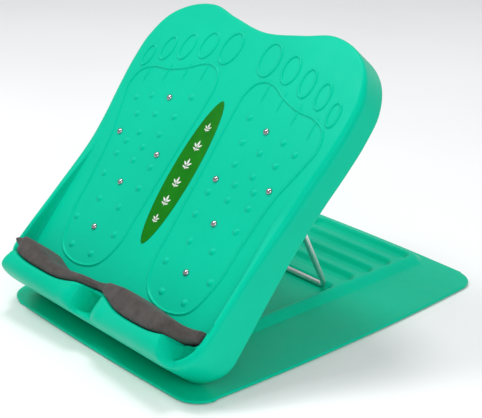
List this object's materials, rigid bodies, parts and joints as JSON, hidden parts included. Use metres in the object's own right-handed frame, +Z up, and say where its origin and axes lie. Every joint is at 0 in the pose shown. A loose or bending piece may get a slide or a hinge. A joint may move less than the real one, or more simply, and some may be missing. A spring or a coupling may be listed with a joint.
{
  "type": "slant board",
  "caption": "Tilting two-foot calf-stretch board with toe lobes, heel cups and a foam heel pad, hinged to a flat base with stepped notches and held up by a wire bail.",
  "frame": {"origin": "centre of the whole board's footprint on the floor, in the raised pose", "axes": "+X to the right of a user standing on the board with toes up the slope, +Y from the heel end towards the rear of the base, +Z up"},
  "size_m": [0.304, 0.4062, 0.2734],
  "materials": {
    "green_plastic": "semi-gloss moulded",
    "eva_foam": "matte foam",
    "leaf_green": "printed film",
    "bead_steel": "polished",
    "wire_chrome": "bright plated",
    "plain_steel": "zinc plated",
    "foot_rubber": "matte"
  },
  "bodies": {
    "base": {"base_plate": "green_plastic", "foot_front_left": "foot_rubber", "foot_front_right": "foot_rubber", "foot_rear_left": "foot_rubber", "foot_rear_right": "foot_rubber", "hinge_rod": "plain_steel", "rod_cap_left": "plain_steel", "rod_cap_right": "plain_steel"},
    "board": {"foot_board": "green_plastic", "board_skirt": "green_plastic", "board_ribs": "green_plastic", "bail_blocks": "green_plastic", "hinge_cheeks": "green_plastic", "foot_outline_left": "green_plastic", "foot_outline_right": "green_plastic", "bumps_left": "green_plastic", "bumps_right": "green_plastic", "heel_pad": "eva_foam", "leaf_label": "leaf_green", "bead_left_1": "bead_steel", "bead_left_2": "bead_steel", "bead_left_3": "bead_steel", "bead_left_4": "bead_steel", "bead_left_5": "bead_steel", "bead_right_1": "bead_steel", "bead_right_2": "bead_steel", "bead_right_3": "bead_steel", "bead_right_4": "bead_steel", "bead_right_5": "bead_steel", "bail_clip_left": "green_plastic", "bail_clip_right": "green_plastic", "clip_screws": "plain_steel"},
    "bail": {"support_bail": "wire_chrome"}
  },
  "joints": [
    {"name": "board_lift", "type": "hinge", "parent": "base", "child": "board", "pos_m": [0, -0.1584, 0.0185], "axis": [1, 0, 0], "range_deg": [0, 40]},
    {"name": "bail_fold", "type": "hinge", "parent": "board", "child": "bail", "pos_m": [0, -0.02115, 0.17613], "axis": [1, 0, 0], "range_deg": [-66.9, 0]}
  ],
  "couplings": [
    {"joint": "bail_fold", "follows": "board_lift", "ratio": -1.67}
  ]
}
